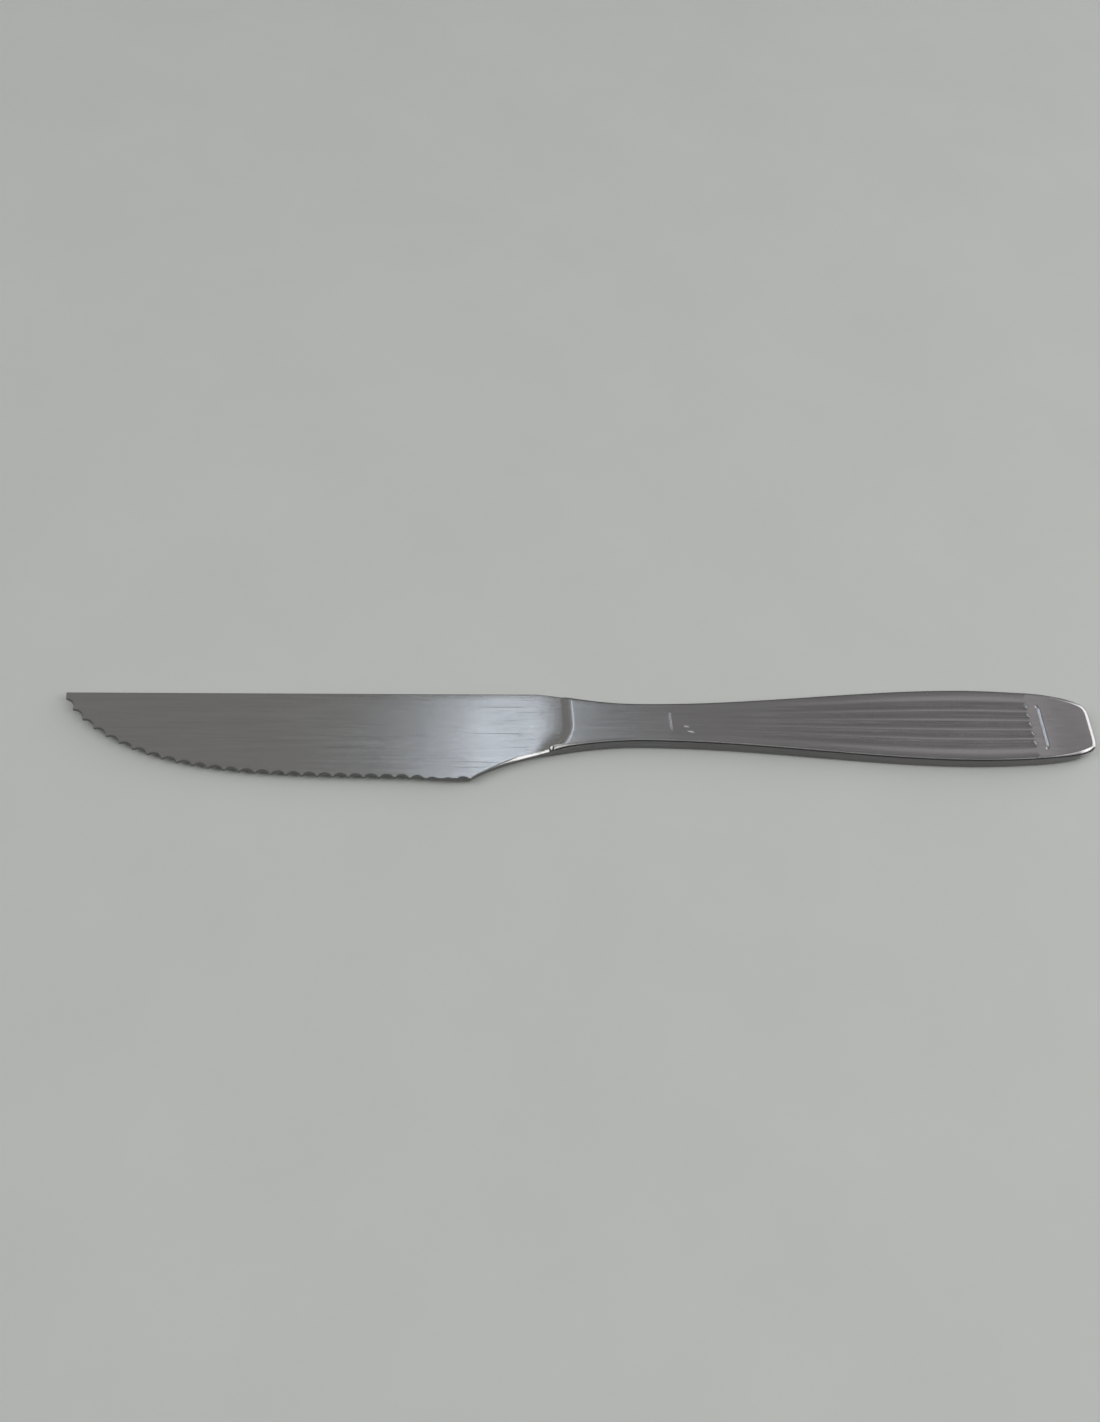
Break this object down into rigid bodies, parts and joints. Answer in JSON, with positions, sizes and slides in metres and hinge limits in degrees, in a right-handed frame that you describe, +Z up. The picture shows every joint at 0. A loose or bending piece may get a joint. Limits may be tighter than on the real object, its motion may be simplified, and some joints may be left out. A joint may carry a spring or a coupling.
{
  "type": "steak knife",
  "caption": "One-piece steel steak knife with a curved scalloped cutting edge, a blunt tip, a slim neck and a flat fluted handle.",
  "frame": {"origin": "on the underside of the neck, halfway along it, on the axis of the handle, with the knife lying on its side", "axes": "+X from the tip to the butt, -Y the way the cutting edge faces, +Z up, out of the face that the scallops are ground from"},
  "size_m": [0.2145, 0.0216, 0.0033],
  "materials": {
    "ground_steel": "ground and satin-brushed along the blade",
    "satin_steel": "satin",
    "pressed_steel": "satin, with pressed flutes"
  },
  "bodies": {
    "root": {"blade": "ground_steel", "bolster": "satin_steel", "handle": "pressed_steel"}
  },
  "joints": []
}
